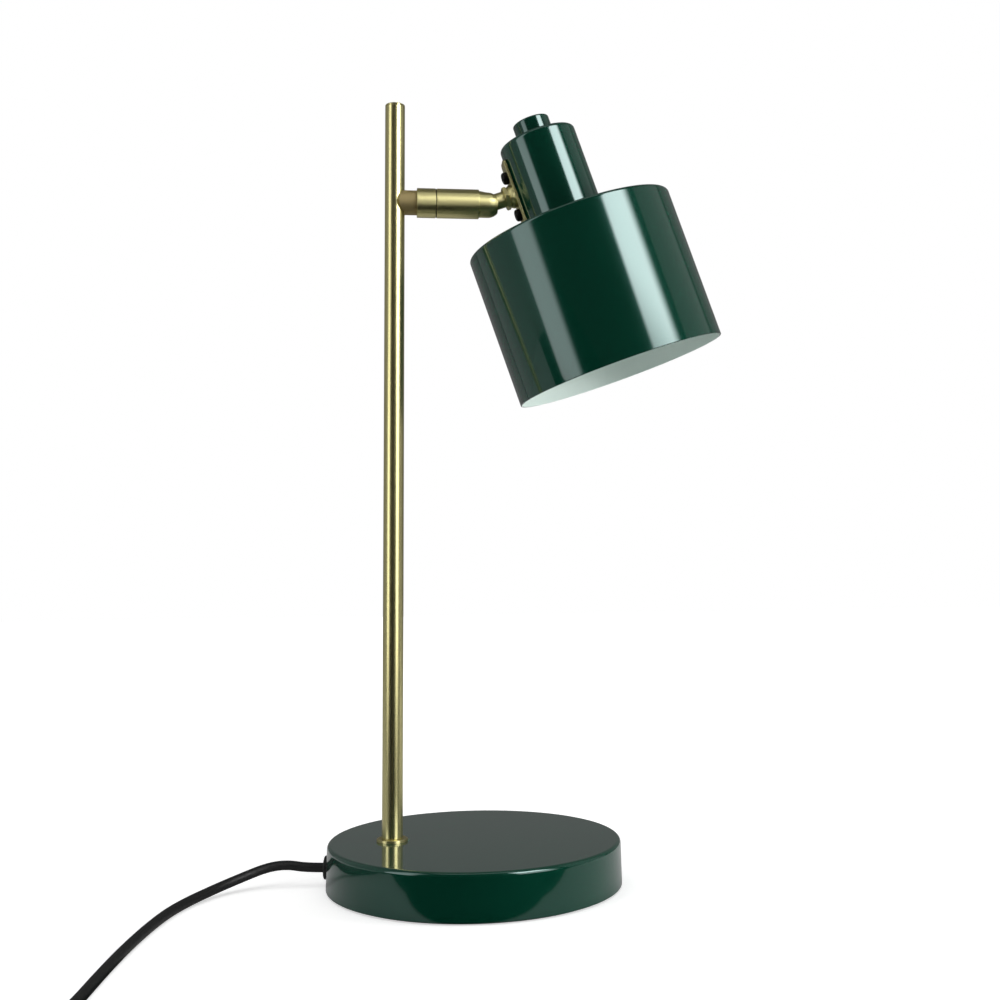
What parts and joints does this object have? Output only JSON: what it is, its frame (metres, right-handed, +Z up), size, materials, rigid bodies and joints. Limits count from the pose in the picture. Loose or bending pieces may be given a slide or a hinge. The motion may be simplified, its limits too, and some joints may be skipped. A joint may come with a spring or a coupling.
{
  "type": "desk lamp",
  "caption": "Desk lamp with a round weighted foot, slim brass upright, ball-jointed swivel arm, stepped cylinder shade and a switched lead with plug.",
  "frame": {"origin": "Centre of the round foot's underside, on the table.", "axes": "+Z up along the upright, +X the way that the arm and the head reach, +Y to the far side; the lead leaves the foot at the -X side and lies towards -Y."},
  "size_m": [0.3439, 0.4415, 0.465],
  "materials": {
    "green_lacquer": "gloss lacquer on steel, white inside the shade",
    "brass_satin": "satin lacquered",
    "brass_plain": "bright",
    "cast_iron": "as cast",
    "zinc_steel": "zinc plated",
    "black_screw": "black oxide",
    "foot_rubber": "matt",
    "black_plastic": "satin",
    "grey_plastic": "matt",
    "wire_sleeve": "satin",
    "cord_sheath": "satin",
    "tie_strap": "satin",
    "nickel": "nickel plated"
  },
  "bodies": {
    "base": {"base_cover": "green_lacquer", "base_weight": "cast_iron", "base_plate": "zinc_steel", "base_pad": "foot_rubber", "plate_screws": "zinc_steel", "pole_tube": "brass_satin", "pole_cap": "brass_satin", "pole_ring": "brass_satin", "pole_insert": "zinc_steel", "pole_nipple": "zinc_steel", "pole_washer": "zinc_steel", "pole_nut": "zinc_steel", "pole_wires": "wire_sleeve", "cord_gland": "black_plastic", "gland_nut": "zinc_steel", "lead_inner": "cord_sheath", "cord_clamp": "grey_plastic", "terminal_block": "grey_plastic", "saddle_spacer": "brass_satin", "arm_nipple": "zinc_steel", "swivel_collar": "brass_satin", "swivel_stop_pin": "brass_plain", "swivel_washer": "zinc_steel", "swivel_nut": "zinc_steel", "cord_lead": "cord_sheath", "cord_link": "cord_sheath", "cord_coil": "cord_sheath", "cord_tail": "cord_sheath", "cord_tie": "tie_strap", "switch_lower": "black_plastic", "switch_upper": "black_plastic", "switch_screws": "black_screw", "switch_terminals": "brass_plain", "plug_body": "black_plastic", "plug_pins": "nickel"},
    "swivel_arm": {"swivel_sleeve": "brass_satin", "socket_nose": "brass_satin", "ball_seat": "grey_plastic", "ball_spring": "zinc_steel", "spring_ring": "zinc_steel", "arm_wires": "wire_sleeve"},
    "tilt_stem": {"ball_stem": "brass_satin", "stem_locknut": "brass_satin", "stem_inner_nut": "zinc_steel", "stem_wires": "wire_sleeve"},
    "head": {"stem_ferrule": "brass_satin", "bracket_plate": "brass_satin", "bracket_backing": "zinc_steel", "bracket_screws": "black_screw", "neck_cup": "green_lacquer", "finial_cap": "green_lacquer", "head_nipple": "zinc_steel", "head_nut": "zinc_steel", "lampholder_cap": "black_plastic", "lampholder_body": "black_plastic", "lampholder_contacts": "brass_plain", "shade_ring": "black_plastic", "shade": "green_lacquer", "head_wires": "wire_sleeve"},
    "rocker": {"switch_rocker": "black_plastic"}
  },
  "joints": [
    {"name": "arm_swivel", "type": "hinge", "parent": "base", "child": "swivel_arm", "pos_m": [0.0092, 0, 0.4036], "axis": [1, 0, 0], "range_deg": [-165, 165]},
    {"name": "head_tilt", "type": "hinge", "parent": "swivel_arm", "child": "tilt_stem", "pos_m": [0.0092, 0, 0.4036], "axis": [0, -1, 0], "range_deg": [-19, 70]},
    {"name": "head_roll", "type": "hinge", "parent": "tilt_stem", "child": "head", "pos_m": [0.0092, 0, 0.4036], "axis": [0.9444, 0, 0.3289], "range_deg": [-90, 90]},
    {"name": "switch_rock", "type": "hinge", "parent": "base", "child": "rocker", "pos_m": [-0.18002, -0.26898, 0.013], "axis": [-1, 0, 0], "range_deg": [0, 16]}
  ]
}
